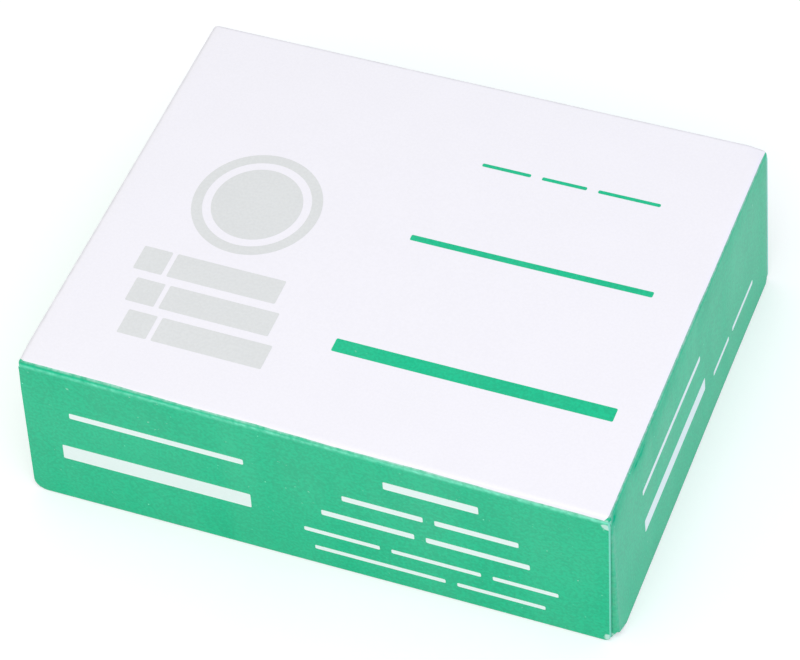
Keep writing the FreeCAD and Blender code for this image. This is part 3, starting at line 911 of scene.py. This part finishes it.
class SLIDEBOX_OT_print(bpy.types.Operator):
    """Prints the lid's bars and its figure"""

    bl_idname = "slidebox.print"
    bl_label = "Print the lid"

    def execute(self, context):
        sizes, prints = context.scene.board_sizes, context.scene.print_sizes
        colours = context.scene.box_colours
        half_x, half_y = lid_half_sizes(sizes)
        # A second ink, silver grey, offset printed over the bare coating: thin, even and a little
        # warmer than the board.
        silver = board_material("silver_grey_offset_print", colours.silver, 0.02, 0.4, 0.4, 0.1)
        # Where the green ink leaves the coating bare in a narrow place, light scatters in from
        # under the ink around it, and the white looks a little green. This white is also a little
        # lighter than the top's: painted light on the walls' bars, which the lamp lights less.
        bare = board_material("reserved_clay_coating", colours.reserved, 0.01, 0.35, 0.42, 0.15)
        green = bpy.data.materials["offset_printed_boxboard"]
        flat, quarter, above = (0, 0, 0), math.pi / 2, (0, 0, LID_HIGH.z)
        for name, rows, turned, step, material in (
                ("top_bars", TOP_ROWS, flat, above, green),
                ("front_bars", FRONT_ROWS, (quarter, 0, 0), (0, -half_y, 0), bare),
                ("right_bars", RIGHT_ROWS, (quarter, 0, quarter), (half_x, 0, 0), bare),
                ("top_figure", FIGURE_ROWS, flat, above, silver)):
            layer = start_layer(name)
            if name == "top_figure":
                add_lens(prints)
            add_rows(rows, prints.corner)
            finish_layer(layer, turned, step, prints, sizes, material)
        return {"FINISHED"}


class SLIDEBOX_OT_tray(bpy.types.Operator):
    """Folds the tray"""

    bl_idname = "slidebox.tray"
    bl_label = "Fold the tray"

    def execute(self, context):
        sizes, colours = context.scene.board_sizes, context.scene.box_colours
        depth = TRAY_HIGH.z - TRAY_LOW.z
        plain = Corner(sizes.cut_inset, sizes.gape, sizes.rim_round, 3 * (sizes.rim_round,),
                       sizes.corner_radius, sizes.glue_gap)
        corners = {(sign_x, sign_y): plain for sign_x in (-1, 1) for sign_y in (-1, 1)}
        tray = fold_sheet("tray_board", TRAY_HIGH.x, TRAY_HIGH.y, depth, depth, sizes, corners)
        edit(tray)
        bpy.ops.mesh.select_all(action="SELECT")
        bpy.ops.transform.rotate(value=math.pi, orient_axis="X",
                                 center_override=(0, 0, TRAY_LOW.z + depth / 2))
        bpy.ops.object.mode_set(mode="OBJECT")
        # Board of the same weight without print or coating: its outside is a layer of bleached
        # pulp, white and matt, its inside bare pulp, and its clean cut edge is warm white.
        white = board_material("bleached_pulp_boxboard", colours.white, 0.015, 0.35, 0.62, 0.3)
        lining = board_material("tray_uncoated_pulp_board", colours.lining, 0.03, 0.5, 0.9, 0.6)
        core = board_material("die_cut_board_edge", colours.core, 0.03, 0.3, 0.9, 0.6)
        thicken(tray, (white, white, lining, lining, core), sizes)
        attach(tray, "tray")
        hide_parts("tray")
        return {"FINISHED"}


class SLIDEBOX_OT_slides(bpy.types.Operator):
    """Gives the slides their glass"""

    bl_idname = "slidebox.slides"
    bl_label = "Finish the slides"

    def execute(self, context):
        colours = context.scene.box_colours
        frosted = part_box(SLIDES[0])[1].x - context.scene.slide_sizes.frosted
        glass = glass_material(colours.glass, colours.ground, frosted)
        for name in SLIDES:
            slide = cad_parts[name]
            slide.data.materials.clear()
            slide.data.materials.append(glass)
        return {"FINISHED"}


FLOOR_SIDE, FLOOR_GREY, FLOOR_GLOW = 8, (0.8, 0.8, 0.8), 0.3
SKY_TINT = (0.98, 0.985, 1)
AIM = Vector((0, -2.2, 13.8)) * MM      # what the camera looks at, near the box's middle
FILM_WIDTH, CLOSEST = 36, 0.01          # the camera's film in millimetres, and its nearest view


def direction(azimuth, elevation):
    """The way from the box towards an azimuth, from the front to the right, and an elevation."""
    return Vector((math.sin(azimuth) * math.cos(elevation),
                   -math.cos(azimuth) * math.cos(elevation), math.sin(elevation)))


class SLIDEBOX_OT_stage(bpy.types.Operator):
    """Sets the floor, the light and the camera"""

    bl_idname = "slidebox.stage"
    bl_label = "Set the stage"

    def execute(self, context):
        sizes = context.scene.stage_sizes
        clear_selection()
        bpy.ops.mesh.primitive_plane_add(size=FLOOR_SIDE, location=(0, 0, 0))
        floor = context.object
        floor.name = "floor"
        # Matt painted board: the floor takes the soft shadow and shows white around it.
        material, tree = new_material("matt_painted_floor", FLOOR_GREY)
        path = add_node(tree, "ShaderNodeLightPath")
        seen = path["Is Camera Ray"]
        for other in ("Is Glossy Ray", "Is Transmission Ray"):
            seen = add_node(tree, "ShaderNodeMath", {0: seen, 1: path[other]},
                            operation="MAXIMUM")[0]
        matt = add_node(tree, "ShaderNodeBsdfDiffuse", {"Color": (*FLOOR_GREY, 1)})
        glow = add_node(tree, "ShaderNodeEmission", {"Strength": FLOOR_GLOW})
        bright = add_node(tree, "ShaderNodeAddShader", {0: matt[0], 1: glow[0]})
        mix = add_node(tree, "ShaderNodeMixShader", {0: seen, 1: matt[0], 2: bright[0]})
        add_node(tree, "ShaderNodeOutputMaterial", {"Surface": mix[0]})
        floor.data.materials.append(material)

        world = bpy.data.worlds.new("soft_sky")
        context.scene.world = world
        world.use_nodes = True
        tree = world.node_tree
        tree.nodes.clear()
        path = add_node(tree, "ShaderNodeLightPath")
        strength = add_node(tree, "ShaderNodeMapRange",
                            {"Value": path["Is Camera Ray"], "To Min": sizes.sky, "To Max": 1.0})
        sky = add_node(tree, "ShaderNodeBackground",
                       {"Color": (*SKY_TINT, 1), "Strength": strength[0]})
        add_node(tree, "ShaderNodeOutputWorld", {"Surface": sky[0]})

        for azimuth, elevation, power, tint in (
                (sizes.lamp_azimuth, sizes.lamp_elevation, sizes.lamp, (1, 1, 1)),
                (math.pi / 2, sizes.fill_elevation, sizes.fill, sizes.cool)):
            towards = direction(azimuth, elevation)
            bpy.ops.object.light_add(type="AREA", location=towards * sizes.lamp_distance)
            lamp = context.object
            lamp.data.shape, lamp.data.size = "DISK", sizes.lamp_width
            lamp.data.energy = power
            lamp.data.color = tint
            lamp.rotation_euler = towards.to_track_quat("Z", "Y").to_euler()

        back = direction(sizes.azimuth, sizes.elevation)
        bpy.ops.object.camera_add(location=AIM + back * sizes.distance)
        camera = context.object
        turned = (-back).to_track_quat("-Z", "Y").to_matrix().to_4x4()
        turned = turned @ Matrix.Rotation(sizes.roll, 4, "Z")
        camera.rotation_euler = turned.to_euler()
        camera.data.lens = sizes.focal_length
        camera.data.sensor_width = FILM_WIDTH
        camera.data.clip_start = CLOSEST
        context.scene.camera = camera
        context.scene.view_settings.view_transform = "Standard"
        return {"FINISHED"}


class SLIDEBOX_PT_panel(bpy.types.Panel):
    """Lists the steps that build the box"""

    bl_idname = "SLIDEBOX_PT_panel"
    bl_label = "Slide Box"
    bl_space_type = "VIEW_3D"
    bl_region_type = "UI"
    bl_category = "Slide Box"

    def draw(self, context):
        for operator in STEPS:
            self.layout.operator(operator.bl_idname)


GROUPS = {"board_sizes": BoardSizes, "slide_sizes": SlideSizes, "print_sizes": PrintSizes,
          "box_colours": BoxColours, "stage_sizes": StageSizes}
STEPS = (SLIDEBOX_OT_stage, SLIDEBOX_OT_lid, SLIDEBOX_OT_print, SLIDEBOX_OT_tray,
         SLIDEBOX_OT_slides)


def register():
    for item in (*GROUPS.values(), *STEPS, SLIDEBOX_PT_panel):
        bpy.utils.register_class(item)
    for name, group in GROUPS.items():
        setattr(bpy.types.Scene, name, PointerProperty(type=group))


def unregister():
    for name in GROUPS:
        delattr(bpy.types.Scene, name)
    for item in reversed((*GROUPS.values(), *STEPS, SLIDEBOX_PT_panel)):
        bpy.utils.unregister_class(item)


def main():
    register()
    for step in STEPS:
        group, name = step.bl_idname.split(".")
        getattr(getattr(bpy.ops, group), name)()


if __name__ == "__main__":
    main()
